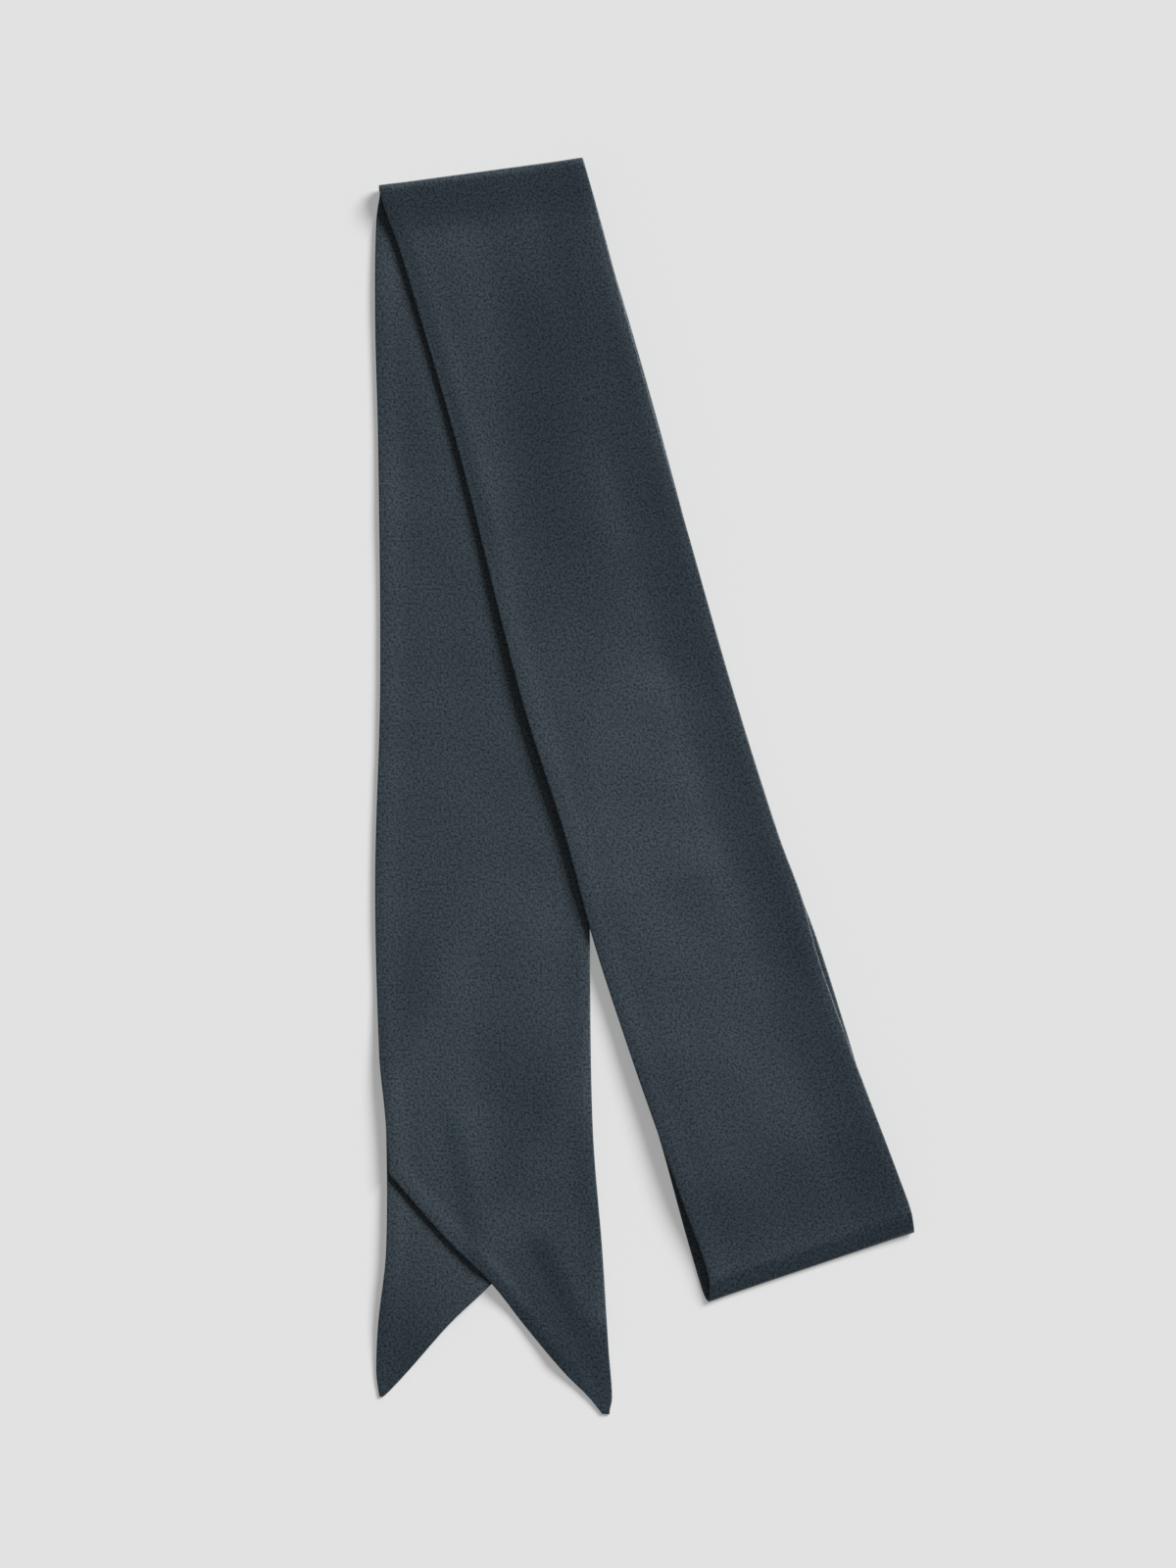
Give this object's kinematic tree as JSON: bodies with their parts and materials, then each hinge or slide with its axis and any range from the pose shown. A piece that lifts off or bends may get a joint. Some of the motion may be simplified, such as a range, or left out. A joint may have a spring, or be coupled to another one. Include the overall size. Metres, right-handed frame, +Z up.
{
  "type": "skinny scarf",
  "caption": "Long narrow satin scarf with slanted ends, folded in half twice and laid flat, its two arms crossing at the top fold.",
  "frame": {"origin": "on the surface that the scarf lies on, under the middle of its box", "axes": "+Z up, +Y from the pointed ends towards the top fold, +X towards the upper arm's side"},
  "size_m": [0.2359, 0.5511, 0.0084],
  "materials": {
    "satin": "dark slate satin, soft sheen"
  },
  "bodies": {
    "root": {"under_tail": "satin", "upper_tail": "satin", "under_run": "satin", "top_run": "satin"}
  },
  "joints": []
}
